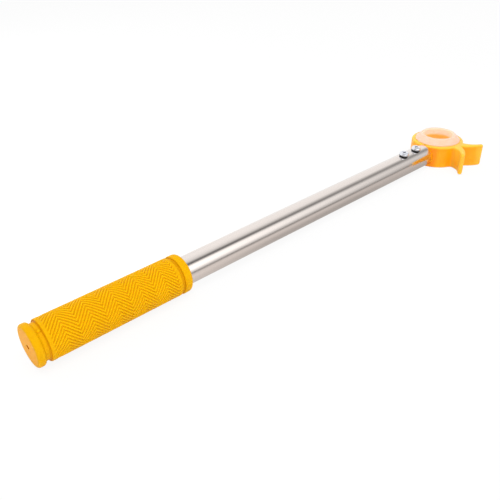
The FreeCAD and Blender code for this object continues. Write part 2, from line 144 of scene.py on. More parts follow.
class HeadSettings(bpy.types.PropertyGroup):
    """Sizes and colours of the moulded head."""
    ring: length("Ring radius", 0.0261, "Outside of the ring")
    half: length("Half height", 0.0111, "Half of the head's height")
    rim_round: length("Rim round", 0.0018, "Round of the outer edges")
    eye: length("Eye radius", 0.0181, "Hole that holds the liner")
    eye_round: length("Eye round", 0.0004, "Broken edge of that hole")
    tip_x: length("Tip offset", 0.0173, "Fork's middle to the centre of an ear's tip")
    tip_y: length("Tip reach", 0.0403, "Ring's axis to the centre of an ear's tip")
    tip: length("Tip radius", 0.0022, "Rounded tip of an ear")
    root_x: length("Root offset", 0.0085, "Fork's middle to an ear's outer side at the wall")
    root_y: length("Root depth", 0.0231, "Where the ear's outer curve starts")
    outer: length("Outer curve", 0.0197, "Hollow curve of an ear's outer side")
    mouth: length("Mouth curve", 0.0350, "Full curve of an ear's mouth side")
    floor: length("Mouth floor", 0.0277, "Ring's axis to the bottom of the mouth")
    root_round: length("Root round", 0.0030, "Corner between an ear and the ring")
    mouth_round: length("Mouth round", 0.0015, "Corner at the bottom of the mouth")
    spigot: length("Spigot radius", 0.00945, "Part of the head inside the tube")
    spigot_end: place("Spigot end", HEAD_LOW[0], "Free end of the spigot")
    plastic: paint("Plastic", (1.0, 0.405, 0.003), "Yellow moulded plastic")
    plastic_shade: paint("Plastic, darker flow", (0.98, 0.375, 0.001), "Slight streaks of the moulding")
    # Painted light: lighter plastic on the rims and on the ears' outer sides and tips
    plastic_painted_light: paint("Plastic, thin edges", (1.0, 0.52, 0.045), "Where light comes through an edge")
    # Painted shade: deeper orange in the corner beside the tube
    plastic_corner_shade: paint("Plastic by the tube", (0.95, 0.30, 0.001), "Corner beside the tube")


class LinerSettings(bpy.types.PropertyGroup):
    """Sizes and colours of the ring's soft liner."""
    bore: length("Bore radius", 0.0150, "Clear hole")
    sleeve: length("Sleeve radius", 0.0180, "Outside of the sleeve in the ring")
    foot: place("Foot", LINER_LOW[2], "Lower edge of the sleeve")
    rim: length("Rim", 0.0111, "Top of the ring, under the lip")
    lip: length("Lip radius", LINER_HIGH[0], "Foot of the lip")
    lip_edge: length("Lip edge", 0.0008, "Thickness of the lip at its foot")
    crest: length("Crest radius", 0.0171, "Crest of the lip")
    crest_round: length("Crest round", 0.0009, "Rounds of the crest")
    top: length("Top", LINER_HIGH[2], "Highest level of the lip")
    clear: paint("Clear liner", (1.0, 0.525, 0.405), "Pale translucent liner over open air")
    backed: paint("Backed liner", (1.0, 0.46, 0.10), "The same where the housing shows through")


class ScrewSettings(bpy.types.PropertyGroup):
    """Sizes and colours of the screws, their washers and the nuts."""
    front: place("Front screw", -0.0419, "Along the tube")
    rear: place("Rear screw", -0.0624, "Along the tube")
    lean: turn("Lean", 7.5, "From the top, towards the fork side")
    seat: length("Seat", 0.0123, "Head's underside above the axis")
    head: length("Head radius", 0.0047, "Pan head")
    height: length("Head height", 0.0024, "Pan head")
    head_round: length("Head round", 0.0018, "Round of the pan head")
    shank: length("Shank radius", 0.0025, "Shank")
    reach: length("Shank length", 0.0160, "Shank under the head")
    recess: length("Recess reach", 0.0024, "Cross recess, middle to tip")
    slot: length("Recess half slot", 0.00065, "Half width of the cross recess")
    depth: length("Recess depth", 0.0016, "Cross recess")
    washer: length("Washer radius", 0.0046, "Washer under the screw's head")
    washer_bore: length("Washer bore radius", 0.0027, "Hole of the washer")
    washer_foot: length("Washer foot", 0.0111, "Its underside above the axis")
    zinc: paint("Zinc", (0.80, 0.83, 0.90), "Bright zinc plating")
    # Painted shade: the cross recess darkened
    zinc_recess_shade: paint("Zinc in the recess", (0.10, 0.10, 0.13), "Duller plating in the recess")
    # Partly painted shadow: the washers' near-black also stands for the shadow under the screw heads
    washer_black_and_shadow: paint("Black steel", (0.012, 0.013, 0.014), "Black washers")


class StageSettings(bpy.types.PropertyGroup):
    """Camera, floor and light."""
    eye: FloatVectorProperty(name="Camera", description="Place of the camera", size=3,
                             default=(-0.5304, -0.29772, 0.2417), subtype="TRANSLATION")
    yaw: turn("Yaw", -41.32, "Camera's turn about the vertical")
    pitch: turn("Pitch", 32.47, "Camera's look down")
    roll: turn("Roll", -1.37, "Camera's roll")
    lens: share("Lens", 41.23, "Focal length", unit="CAMERA")
    floor: paint("Floor", (0.90, 0.90, 0.90), "Plain pale floor")
    sky: share("Sky", 0.72, "Soft light from all round")
    key: share("Key", 10.8, "Power of the large soft lamp")
    fill: share("Fill", 3.4, "Power of the lamp beside the camera")
    back: share("Back", 2.5, "Power of the lamp behind the bar")


def unit(vectors):
    """Each vector divided by its length."""
    return vectors / np.linalg.norm(vectors, axis=-1, keepdims=True)


def arc(centre, radius, start, end, step):
    """Points centre + radius (cos t, sin t) for t from start to end, about step apart."""
    count = max(3, int(abs(end - start) * radius / step) + 2)
    t = np.linspace(start, end, count)
    return np.stack([centre[0] + radius * np.cos(t), centre[1] + radius * np.sin(t)], -1)


def rounded_loop(corners, rounds, step):
    """A closed outline: each corner gives way to an arc that touches both of its sides, at
    corner + (round / sin(half angle)) along the bisector, and straight runs are cut about step long."""
    corners = np.asarray(corners, float)
    before, after = np.roll(corners, 1, axis=0), np.roll(corners, -1, axis=0)
    runs, straight = [], 1.57
    for corner, back, ahead, radius in zip(corners, before, after, rounds):
        to_back, to_ahead = unit(back - corner), unit(ahead - corner)
        half = 0.5 * math.acos(np.clip(to_back @ to_ahead, -1, 1))
        if radius <= 0 or half > straight:
            runs.append(corner[None])
            continue
        centre = corner + unit(to_back + to_ahead) * radius / math.sin(half)
        touch = radius / math.tan(half)
        first, last = corner + to_back * touch - centre, corner + to_ahead * touch - centre
        a, b = math.atan2(first[1], first[0]), math.atan2(last[1], last[0])
        sweep = (b - a + math.pi) % (2 * math.pi) - math.pi
        t = np.linspace(a, a + sweep, 9)
        runs.append(centre + radius * np.stack([np.cos(t), np.sin(t)], -1))
    pieces = []
    for run, following in zip(runs, runs[1:] + runs[:1]):
        pieces.append(run)
        gap = np.linalg.norm(following[0] - run[-1])
        cuts = int(gap / step)
        if cuts > 0:
            t = np.linspace(0, 1, cuts + 2)[1:-1, None]
            pieces.append(run[-1] * (1 - t) + following[0] * t)
    return np.concatenate(pieces)


def grid_faces(rows, columns, wrap_rows, wrap_columns):
    """Corners of a grid's quads; a wrapped side joins its last line to its first."""
    index = np.arange(rows * columns).reshape(rows, columns)
    if wrap_rows:
        index = np.vstack([index, index[:1]])
    if wrap_columns:
        index = np.hstack([index, index[:, :1]])
    quads = [index[:-1, :-1], index[1:, :-1], index[1:, 1:], index[:-1, 1:]]
    return np.stack(quads, -1).reshape(-1, 4)


def fan_faces(ring, centre):
    """Triangles from a closed line of point numbers to one centre point."""
    ring = np.asarray(ring)
    return np.stack([ring, np.roll(ring, -1), np.full(len(ring), centre)], -1)


def join(shells):
    """Several (points, faces) shells as one: points stacked, face numbers shifted by those before."""
    points, faces, count = [], [], 0
    for shell_points, shell_faces in shells:
        points.append(shell_points.reshape(-1, 3))
        faces += [block + count for block in shell_faces]
        count += len(points[-1])
    return np.concatenate(points), faces


def new_object(name, data):
    """An object at the origin, in the scene."""
    item = bpy.data.objects.new(name, data)
    bpy.context.scene.collection.objects.link(item)
    return item


def make_piece(name, points, faces, nodes, material, marks=None):
    """A closed mesh in metres that stands for CAD nodes; its faces are turned outwards."""
    mesh = bpy.data.meshes.new(name)
    lists = [row for block in faces for row in block.tolist()]
    mesh.from_pydata(points.reshape(-1, 3).tolist(), [], lists)
    for mark, values in (marks or {}).items():
        attribute = mesh.attributes.new(mark, "FLOAT", "POINT")
        attribute.data.foreach_set("value", np.asarray(values, np.float32).ravel())
    work = bmesh.new()
    work.from_mesh(mesh)
    bmesh.ops.recalc_face_normals(work, faces=work.faces)
    work.to_mesh(mesh)
    work.free()
    mesh.polygons.foreach_set("use_smooth", np.ones(len(mesh.polygons), bool))
    mesh.update()
    piece = new_object(name, mesh)
    mesh.materials.append(material)
    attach(piece, BODY)
    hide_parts(*nodes)
    return piece


def full_turn(count):
    """Angles once round, as a row."""
    return np.linspace(0, 2 * math.pi, count, endpoint=False)[None, :]


def lathe(x, r, angles):
    """Surface of revolution about X: columns x and r and an angle a from +Z towards -Y give the
    point (x, -r sin a, r cos a)."""
    return np.stack([x + 0 * angles, -r * np.sin(angles), r * np.cos(angles)], -1)


def upright_lathe(r, z, angles):
    """Surface of revolution about Z: columns r and z and an angle a give (r cos a, r sin a, z)."""
    return np.stack([r * np.cos(angles), r * np.sin(angles), z + 0 * angles], -1)


def smooth_step(low, high, values):
    """0 below low, 1 above high, and 3t^2 - 2t^3 between."""
    t = np.clip((values - low) / (high - low), 0, 1)
    return t * t * (3 - 2 * t)


def between(values, start, full, fading, end):
    """0 outside start and end, 1 from full to fading, and smooth steps at both sides."""
    return smooth_step(start, full, values) * (1 - smooth_step(fading, end, values))


# Materials

def new_material(name):
    """An empty material, and its tree."""
    material = bpy.data.materials.new(name)
    material.use_nodes = True
    material.node_tree.nodes.clear()
    return material, material.node_tree


def add_node(tree, kind, inputs=None, **settings):
    """A shader node with its settings, and its inputs as plain values or links."""
    item = tree.nodes.new("ShaderNode" + kind)
    for key, value in settings.items():
        setattr(item, key, value)
    for key, value in (inputs or {}).items():
        if isinstance(value, bpy.types.NodeSocket):
            tree.links.new(value, item.inputs[key])
        else:
            item.inputs[key].default_value = value
    return item


def dimmed(values, factor):
    """A colour's light values times a factor."""
    return [value * factor for value in values]


def mix_colour(tree, factor, *tones):
    """The colour between two, by a factor; each is a link or three light values."""
    first, second = [tone if isinstance(tone, bpy.types.NodeSocket) else (*tone, 1) for tone in tones]
    item = add_node(tree, "Mix", {0: factor, 6: first, 7: second}, data_type="RGBA")
    return item.outputs[2]


def math_node(tree, operation, *values):
    """The result of a math node on values or links."""
    return add_node(tree, "Math", dict(enumerate(values)), operation=operation).outputs[0]


def mark(tree, name):
    """A piece's own attribute, as a value."""
    return add_node(tree, "Attribute", attribute_name=name).outputs["Fac"]


def noise(tree, vector, scale, detail=2.0, roughness=0.5):
    """The value of a noise."""
    return add_node(tree, "TexNoise", {"Vector": vector, "Scale": scale, "Detail": detail,
                    "Roughness": roughness}).outputs[0]


def scale_range(tree, value, low, high, to_low, to_high):
    """A value moved from one range to another, and held inside it."""
    inputs = {"Value": value, "From Min": low, "From Max": high, "To Min": to_low, "To Max": to_high}
    return add_node(tree, "MapRange", inputs, clamp=True).outputs[0]


def moulding_group():
    """Shared look of moulded, plated and oxidised skins: a cloudy tone, a fine grain and specks."""
    found = bpy.data.node_groups.get("moulding_skin")
    if found:
        return found
    group = bpy.data.node_groups.new("moulding_skin", "ShaderNodeTree")
    face = group.interface
    face.new_socket("Vector", in_out="INPUT", socket_type="NodeSocketVector")
    for name, default in (("Cloud Scale", 60.0), ("Grain Scale", 2500.0), ("Speck Scale", 700.0)):
        face.new_socket(name, in_out="INPUT", socket_type="NodeSocketFloat").default_value = default
    for name in ("Cloud", "Grain", "Speck"):
        face.new_socket(name, in_out="OUTPUT", socket_type="NodeSocketFloat")
    start, end = group.nodes.new("NodeGroupInput").outputs, group.nodes.new("NodeGroupOutput")
    for name, detail in (("Cloud", 3.0), ("Grain", 2.0), ("Speck", 4.0)):
        value = noise(group, start["Vector"], start[name + " Scale"], detail)
        group.links.new(value, end.inputs[name])
    return group


def moulding(tree, cloud, grain, speck):
    """The moulding skin placed in a material, on Object coordinates."""
    coordinates = add_node(tree, "TexCoord").outputs["Object"]
    inputs = {"Vector": coordinates, "Cloud Scale": cloud, "Grain Scale": grain, "Speck Scale": speck}
    return add_node(tree, "Group", inputs, node_tree=moulding_group()).outputs


# The middle values of a noise, which are spread over a material's own range
CLOUD_SPAN = (0.35, 0.65)
SPECK_SPAN = (0.3, 0.7)


def clouds(tree, skin, most=1.0):
    """The skin's cloudy tone, from 0 to most."""
    return scale_range(tree, skin["Cloud"], *CLOUD_SPAN, 0.0, most)


def specks(tree, skin, low, high):
    """A value that changes with the skin's specks."""
    return scale_range(tree, skin["Speck"], *SPECK_SPAN, low, high)


def bump(tree, height, distance, strength=1.0):
    """Bump of a height."""
    return add_node(tree, "Bump", {"Height": height, "Distance": distance,
                    "Strength": strength}).outputs[0]


def shade(material, inputs):
    """The material with its own shader."""
    shader = add_node(material.node_tree, "BsdfPrincipled", inputs)
    add_node(material.node_tree, "OutputMaterial", {0: shader.outputs[0]})
    return material


def rubber_material(s):
    """Yellow rubber: painted shade by the valley mark, painted light on the paler end face, painted
    shade in the dark vent, and a fine skin.
    """
    material, tree = new_material("yellow_rubber")
    skin = moulding(tree, cloud=45.0, grain=3200.0, speck=900.0)
    # Painted shade by the valley mark in valleys, grooves and on plain margins
    body = mix_colour(tree, mark(tree, "valley"), s.rubber, s.rubber_shade_and_tone)
    body = mix_colour(tree, clouds(tree, skin, 0.12), body, s.rubber_shade_and_tone)
    # Painted light on the end face
    pale = math_node(tree, "MULTIPLY", mark(tree, "end_face"), specks(tree, skin, 0.75, 1.0))
    body = mix_colour(tree, pale, body, s.end_face_painted_light)
    # Painted shade in the vent
    body = mix_colour(tree, mark(tree, "vent"), body, s.inside)
    return shade(material, {"Base Color": body, "Roughness": specks(tree, skin, 0.42, 0.55),
                            "Specular IOR Level": 0.06, "Subsurface Weight": 0.12,
                            "Subsurface Radius": (1.0, 0.45, 0.1), "Subsurface Scale": 0.0015,
                            "Normal": bump(tree, skin["Grain"], 0.000008)})


def steel_material(s):
    """Polished stainless tube: fine lines across it from the polishing belt, a few faint smears."""
    material, tree = new_material("polished_steel")
    coordinates = add_node(tree, "TexCoord").outputs["Object"]
    across = add_node(tree, "Mapping", {"Vector": coordinates, "Scale": (1400.0, 14.0, 14.0)})
    lines = noise(tree, across.outputs[0], 1.0, 4.0, 0.6)
    mask = scale_range(tree, lines, 0.42, 0.62, 0.0, 1.0)
    rough = scale_range(tree, noise(tree, coordinates, 28.0), *CLOUD_SPAN, 0.14, 0.17)
    tone = mix_colour(tree, mask, s.steel, s.steel_shade)
    return shade(material, {"Base Color": tone, "Metallic": 1.0, "Roughness": rough,
                            "Normal": bump(tree, lines, 0.000004, 0.3)})


def plastic_material(s):
    """Yellow moulded plastic: faint streaks, painted light at the edge mark, painted shade at the corner
    mark.
    """
    material, tree = new_material("yellow_plastic")
    skin = moulding(tree, cloud=90.0, grain=2600.0, speck=600.0)
    tone = mix_colour(tree, clouds(tree, skin), s.plastic, s.plastic_shade)
    # Painted light on the rims and ears by the edge mark
    tone = mix_colour(tree, mark(tree, "edge"), tone, s.plastic_painted_light)
    # Painted shade in the corner beside the tube
    tone = mix_colour(tree, mark(tree, "corner"), tone, s.plastic_corner_shade)
    return shade(material, {"Base Color": tone, "Roughness": specks(tree, skin, 0.32, 0.42),
                            "Specular IOR Level": 0.35, "Subsurface Weight": 0.5,
                            "Subsurface Radius": (1.0, 0.7, 0.1), "Subsurface Scale": 0.0012,
                            "Normal": bump(tree, skin["Grain"], 0.00002)})


def liner_material(s):
    """Pale translucent liner: the yellow housing shows through it by the backed mark, and a slight
    emission, fuller in the hole, stands for light that comes through it."""
    material, tree = new_material("soft_liner")
    skin = moulding(tree, cloud=120.0, grain=2600.0, speck=500.0)
    backed = mark(tree, "backed")
    tone = mix_colour(tree, backed, s.clear, s.backed)
    tone = mix_colour(tree, clouds(tree, skin, 0.12), tone, s.backed)
    through = mix_colour(tree, mark(tree, "hole"), dimmed(s.clear, 0.2), tone)
    through = mix_colour(tree, backed, through, dimmed(s.backed, 0.45))
    return shade(material, {"Base Color": tone, "Roughness": specks(tree, skin, 0.35, 0.48),
                            "Specular IOR Level": 0.4, "Subsurface Weight": 0.6,
                            "Subsurface Radius": (1.0, 0.85, 0.75), "Subsurface Scale": 0.003,
                            "Emission Color": through, "Emission Strength": 0.50,
                            "Normal": bump(tree, skin["Grain"], 0.00002)})


def zinc_material(s):
    """Bright zinc plating: cold, with fine specks, and painted shade in the cross recess."""
    material, tree = new_material("bright_zinc")
    skin = moulding(tree, cloud=700.0, grain=5200.0, speck=1500.0)
    # Painted shade in the cross recess
    tone = mix_colour(tree, mark(tree, "recess"), s.zinc, s.zinc_recess_shade)
    return shade(material, {"Base Color": tone, "Metallic": 1.0,
                            "Roughness": specks(tree, skin, 0.16, 0.30),
                            "Normal": bump(tree, skin["Grain"], 0.00001)})


def washer_material(s):
    """Black oxide steel: dark, slightly mottled, dull; the near-black also paints the shadow under the
    screw heads.
    """
    material, tree = new_material("black_steel")
    skin = moulding(tree, cloud=900.0, grain=5200.0, speck=1800.0)
    tone = mix_colour(tree, clouds(tree, skin), s.washer_black_and_shadow, dimmed(s.washer_black_and_shadow, 1.8))
    return shade(material, {"Base Color": tone, "Metallic": 0.0, "Specular IOR Level": 0.4,
                            "Roughness": specks(tree, skin, 0.40, 0.55),
                            "Normal": bump(tree, skin["Grain"], 0.00001)})


# Shapes

# Radii closer than this are the same
SAME = 1e-6
# Rows of the grip: steps along a plain run, distances of rows from each turn of the zigzag and from the
# ends of the ribs, rows in the end groove for the nub, and one of so many kept in the hidden bore;
# columns for each rib
GRIP_STEP = 0.0012
FROM_TURN = np.array([0, 0.0002, 0.0005, 0.001, 0.0018, 0.003, 0.00475])
FROM_END = np.linspace(0, 0.0008, 5)
NUB_ROWS = 12
BORE_ROWS = 6
RIB_COLUMNS = 10
# Slants of the flange's back, at its top and its foot, and of the inner groove
FLANGE_TOP_SLANT = 0.0006
FLANGE_FOOT_SLANT = 0.0005
GROOVE_SLANT = 0.0003
# The ribs rise to full height over this length, and a rib's flank lies between these wave values
RIB_FADE = 0.0006
RIB_FLANK = (-0.80, 0.20)
# Valley marks of painted shade on plain rubber and round the nub's foot, and the foot's span in squared
# metres
PLAIN_MARK = 0.3
FOOT_MARK = 0.6
NUB_FOOT = (-1.6e-6, -1e-7)
# Fades of the grip's marks of painted shade and painted light: past the end groove's collar, at both
# ends of the inner groove, inwards from the flange's radius and outwards from the vent's; the end face's
# marks stop this deep
END_GROOVE = (-0.0016, -0.0002, 0.0, 0.0006)
GROOVE_FADE = 0.0009
FACE_EDGE = (-0.0036, -0.0010)
VENT_EDGE = (0.0001, 0.0004)
FACE_DEPTH = 0.0006
# The grip's outside lies more than this above its bore
SKIN = 0.0005


def zigzag(s, x):
    """Travel of a rib round the grip: slope times the distance to the nearest peak."""
    x = np.clip(x, s.ribs_from, s.ribs_to)
    from_peak = np.abs((x - s.peak + s.zigzag / 2) % s.zigzag - s.zigzag / 2)
    return s.rib_slope * from_peak / s.crest


def rib_rows(s):
    """Places along the grip for the ribbed part, with one exactly at each peak and valley."""
    half = s.zigzag / 2
    first, last = math.ceil((s.ribs_from - s.peak) / half), math.floor((s.ribs_to - s.peak) / half)
    turns = s.peak + np.arange(first, last + 1)[:, None] * half
    rows = np.concatenate([(turns + FROM_TURN).ravel(), (turns - FROM_TURN).ravel(),
                           s.ribs_from + FROM_END, s.ribs_to - FROM_END])
    rows = np.unique(np.round(rows, 6))
    return rows[(rows >= s.ribs_from) & (rows <= s.ribs_to)]


def level_run(places, radius):
    """Rows of a section at the given places, all at one radius."""
    return np.stack([places, np.full(len(places), radius)], -1)


def grip_profile(s):
    """Closed (x, r) section of the grip, from the vent round the outside and back along the bore. Each
    corner is a place, a radius and the round of its edge."""
    flange_back, wall = s.end + s.flange_width, s.end + s.end_wall
    collar = flange_back + s.groove_width
    corners = np.array([
        (s.end, s.vent, 0.0004), (s.end, s.flange, 0.0018),
        (flange_back - FLANGE_TOP_SLANT, s.flange, 0.0022),
        (flange_back + FLANGE_FOOT_SLANT, s.groove_radius, 0.0009),
        (collar, s.groove_radius, 0.0005), (collar, s.crest, 0.0007), (s.inner_groove, s.crest, 0.0005),
        (s.inner_groove + GROOVE_SLANT, s.inner_groove_radius, 0.0004),
        (s.bead_from, s.inner_groove_radius, 0.0004), (s.bead_from, s.bead, 0.0012),
        (s.mouth, s.bead, 0.0024), (s.mouth, s.bore, 0.0003), (wall, s.bore, 0.0), (wall, s.vent, 0.0)])
    loop = rounded_loop(corners[:, :2], corners[:, 2], GRIP_STEP)
    floor = np.flatnonzero(np.abs(loop[:, 1] - s.groove_radius) < SAME)
    dense = np.linspace(loop[floor[0], 0], loop[floor[-1], 0], NUB_ROWS)
    loop = np.concatenate([loop[:floor[0]], level_run(dense, s.groove_radius), loop[floor[-1] + 1:]])
    in_bore = np.flatnonzero(np.abs(loop[:, 1] - s.bore) < SAME)[1:-1]
    loop = np.delete(loop, np.setdiff1d(in_bore, in_bore[::BORE_ROWS]), axis=0)
    x, r = loop.T
    ribbed = (np.abs(r - s.crest) < SAME) & (x > s.ribs_from - SAME) & (x < s.ribs_to + SAME)
    start = np.flatnonzero(ribbed)[0]
    return np.concatenate([loop[:start], level_run(rib_rows(s), s.crest), loop[~ribbed][start:]])


def nub_reach(s, x, angles):
    """The nub's squared height over the groove's bottom, nub^2 - distance^2, which is below zero
    outside it; and whether a point is over the groove."""
    from_middle = x - (s.end + s.flange_width + s.groove_width / 2)
    around = ((angles - s.nub_lean + math.pi) % (2 * math.pi) - math.pi) * s.groove_radius
    return s.nub ** 2 - around ** 2 - from_middle ** 2, np.abs(from_middle) < s.groove_width / 2


def groove_mark(s, x):
    """Painted shade: 1 in the corner of the end groove beside the ribs and in the inner groove."""
    collar = s.end + s.flange_width + s.groove_width
    inner = between(x, s.inner_groove - GROOVE_FADE, s.inner_groove, s.bead_from,
                    s.bead_from + GROOVE_FADE)
    return np.maximum(between(x - collar, *END_GROOVE), inner)


def make_grip(s):
    """Grip surface: the section turned about X. Over the ribs the radius drops by rib_depth times a
    wave of (angle - zigzag), and the grid's lines are shifted by the zigzag, so that they run along
    the ribs. The nub is a bump of height sqrt(nub^2 - distance^2) on the groove's bottom. The valley
    mark places painted shade: 1 in valleys and grooves, less on plain rubber and round the nub's foot,
    0 on the nub."""
    profile = grip_profile(s)
    x, r = profile[:, :1], profile[:, 1:]
    count = s.rib_count * RIB_COLUMNS
    base = np.arange(count) / count * 2 * math.pi
    outside = r > s.bore + SKIN
    along = (x - s.end) / (s.mouth - s.end)
    inside_shift = zigzag(s, s.end) * (1 - along) + zigzag(s, s.mouth) * along
    angles = base[None, :] + np.where(outside, zigzag(s, x), inside_shift)
    valley = 1 - smooth_step(*RIB_FLANK, np.cos(s.rib_count * base - s.rib_phase))
    ribbed = between(x, s.ribs_from, s.ribs_from + RIB_FADE, s.ribs_to - RIB_FADE, s.ribs_to)
    ribbed = ribbed * (np.abs(r - s.crest) < SAME)
    cut = ribbed * valley[None, :]
    reach, over_groove = nub_reach(s, x, angles)
    raised = s.groove_radius + np.sqrt(np.maximum(reach, 0))
    radius = r - s.rib_depth * cut
    radius = np.where(outside & over_groove & (reach > 0), np.maximum(radius, raised), radius)
    # Painted shade round the nub's foot and on plain rubber
    foot = FOOT_MARK * smooth_step(*NUB_FOOT, reach) * over_groove
    plain = np.maximum(groove_mark(s, x), PLAIN_MARK * (1 - ribbed) + foot)
    # End face mark, for its painted light
    face = (x < s.end + FACE_DEPTH) * (1 - smooth_step(*FACE_EDGE, r - s.flange))
    # Vent mark, for its painted shade
    vent = 1 - smooth_step(*VENT_EDGE, r - s.vent)
    marks = {"valley": np.maximum(cut, plain * (reach < 0) * outside), "end_face": face + 0 * cut,
             "vent": vent + 0 * cut}
    return make_piece("grip", lathe(x, radius, angles), [grid_faces(len(profile), count, True, True)],
                      ["rubber_grip"], rubber_material(s), marks)


def make_tube(s, columns=192):
    """Tube surface: a ring-shaped section with broken edges turned about X."""
    inner = s.radius - s.wall
    corners = [(s.back, inner), (s.back, s.radius), (s.front, s.radius), (s.front, inner)]
    profile = rounded_loop(corners, [s.edge] * 4, 0.004)
    points = lathe(profile[:, :1], profile[:, 1:], full_turn(columns))
    faces = [grid_faces(len(profile), columns, True, True)]
    return make_piece("tube", points, faces, ["steel_tube"], steel_material(s))


def meeting(centre_a, radius_a, centre_b, radius_b, side):
    """A point where two circles meet; side picks which."""
    across = centre_b - centre_a
    gap = np.linalg.norm(across)
    along = (gap ** 2 + radius_a ** 2 - radius_b ** 2) / (2 * gap)
    height = math.sqrt(radius_a ** 2 - along ** 2)
    direction = across / gap
    return centre_a + direction * along + np.array([-direction[1], direction[0]]) * height * side


def angle_of(point, centre):
    """Direction of a point seen from a centre, as an angle."""
    return math.atan2(point[1] - centre[1], point[0] - centre[0])


def head_outline(s, step=0.0006):
    """Plan of the head and its outward normals. The half at +X runs from the bottom of the mouth to
    the top of the ring: hollow corner, mouth curve, tip, outer curve, root's hollow corner, ring.
    Each is an arc that touches its neighbours; the other half is its mirror image."""
    middle, tip = np.zeros(2), np.array([s.tip_x, -s.tip_y])
    floor, root = np.array([0.0, -s.floor]), np.array([s.root_x, -s.root_y])
    mouth = meeting(floor, s.mouth, tip, s.mouth - s.tip, 1)
    outer = meeting(root, s.outer, tip, s.outer + s.tip, 1)
    drop = math.sqrt((s.mouth + s.mouth_round) ** 2 - mouth[0] ** 2)
    corner = np.array([0.0, mouth[1] - drop])
    fillet = meeting(middle, s.ring + s.root_round, outer, s.outer - s.root_round, -1)
    arcs = [(corner, s.mouth_round, math.pi / 2, angle_of(mouth, corner), -1),
            (mouth, s.mouth, angle_of(corner, mouth), angle_of(tip, mouth), 1),
            (tip, s.tip, angle_of(tip, mouth), angle_of(outer, tip), 1),
            (outer, s.outer, angle_of(tip, outer), angle_of(fillet, outer), -1),
            (fillet, s.root_round, angle_of(fillet, outer) + 2 * math.pi, angle_of(middle, fillet), -1),
            (middle, s.ring, angle_of(fillet, middle), math.pi / 2, 1)]
    points, normals = [], []
    for centre, radius, start, end, outward in arcs:
        line = arc(centre, radius, start, end, min(step, radius / 5))[:-1]
        points.append(line)
        normals.append((line - centre) / radius * outward)
    points.append(np.array([[0.0, s.ring]]))
    normals.append(np.array([[0.0, 1.0]]))
    points, normals = np.concatenate(points), np.concatenate(normals)
    mirror = np.array([-1.0, 1.0])
    points = np.concatenate([points, points[-2:0:-1] * mirror])
    normals = np.concatenate([normals, normals[-2:0:-1] * mirror])
    return points, normals


def inside_loop(points, loop):
    """True for points inside a closed line: a ray towards +X crosses it an odd number of times."""
    x, y = points[:, :1], points[:, 1:]
    ahead = np.roll(loop, -1, axis=0)
    crosses = (loop[:, 1] > y) != (ahead[:, 1] > y)
    rise = np.where(ahead[:, 1] == loop[:, 1], 1.0, ahead[:, 1] - loop[:, 1])
    where = loop[:, 0] + (y - loop[:, 1]) / rise * (ahead[:, 0] - loop[:, 0])
    return (crosses & (where > x)).sum(1) % 2 == 1


def flat_faces(outline, hole, first, first_hole):
    """Triangles of the flat face between an outline and a hole, as numbers of the mesh's points."""
    count, hole_count = len(outline), len(hole)
    both = np.concatenate([outline, hole])
    loops = [np.arange(count), count + np.arange(hole_count)]
    edges = np.concatenate([np.stack([loop, np.roll(loop, -1)], -1) for loop in loops])
    result = geometry.delaunay_2d_cdt([tuple(p) for p in (both * 1000).tolist()], edges.tolist(), [], 0,
                                      1e-6)
    if len(result[0]) != len(both):
        raise ValueError("the flat face of the head has crossing lines")
    triangles = np.array(result[2])
    middle = both[triangles].mean(1)
    kept = triangles[inside_loop(middle, outline) & ~inside_loop(middle, hole)]
    return np.where(kept < count, kept + first, kept - count + first_hole)


def head_shell(s, around_eye=160):
    """The ring and both ears: the plan's outline carried up a section (inset i, level z) with
    i = r (1 - cos t), z = half - r + r sin t at the rounds, and the eye's wall inside it."""
    outline, normals = head_outline(s)
    t = np.linspace(0, math.pi / 2, 7)
    inset = s.rim_round * (1 - np.cos(t))
    level = s.half - s.rim_round + s.rim_round * np.sin(t)
    margin, before = 0.0002, 0.0003
    inset = np.concatenate([[0, 0], inset, [s.rim_round + margin]])
    level = np.concatenate([[0, s.half - s.rim_round - before], level, [s.half]])
    inset, level = np.concatenate([inset[:0:-1], inset]), np.concatenate([-level[:0:-1], level])
    plan = outline[None] - normals[None] * inset[:, None, None]
    wall = np.concatenate([plan, np.broadcast_to(level[:, None, None], (*plan.shape[:2], 1))], -1)
    rows, columns = wall.shape[:2]
    t = np.linspace(math.pi / 2, 0, 4)
    radius = s.eye + s.eye_round * (1 - np.cos(t))
    height = s.half - s.eye_round + s.eye_round * np.sin(t)
    radius = np.concatenate([radius, [s.eye], radius[::-1]])[:, None]
    height = np.concatenate([height, [0], -height[::-1]])[:, None]
    eye = upright_lathe(radius, height, full_turn(around_eye))
    first_eye = rows * columns
    last_row, last_eye = first_eye - columns, first_eye + (len(radius) - 1) * around_eye
    faces = [grid_faces(rows, columns, False, True),
             grid_faces(len(radius), around_eye, False, True) + first_eye,
             flat_faces(wall[-1, :, :2], eye[0, :, :2], last_row, first_eye),
             flat_faces(wall[0, :, :2], eye[-1, :, :2], 0, last_eye)]
    return np.concatenate([wall.reshape(-1, 3), eye.reshape(-1, 3)]), faces


def capped_faces(rows, count):
    """Faces of a lathe's grid with a fan at each end to one of two more points."""
    return [grid_faces(rows, count, False, True), fan_faces(np.arange(count), rows * count),
            fan_faces((rows - 1) * count + np.arange(count), rows * count + 1)]


def capped_lathe(profile, count):
    """A lathe shell about X whose section starts and ends on the axis, closed there by fans."""
    body = lathe(profile[1:-1, :1], profile[1:-1, 1:], full_turn(count)).reshape(-1, 3)
    ends = np.array([[profile[0, 0], 0, 0], [profile[-1, 0], 0, 0]])
    return np.concatenate([body, ends]), capped_faces(len(profile) - 2, count)


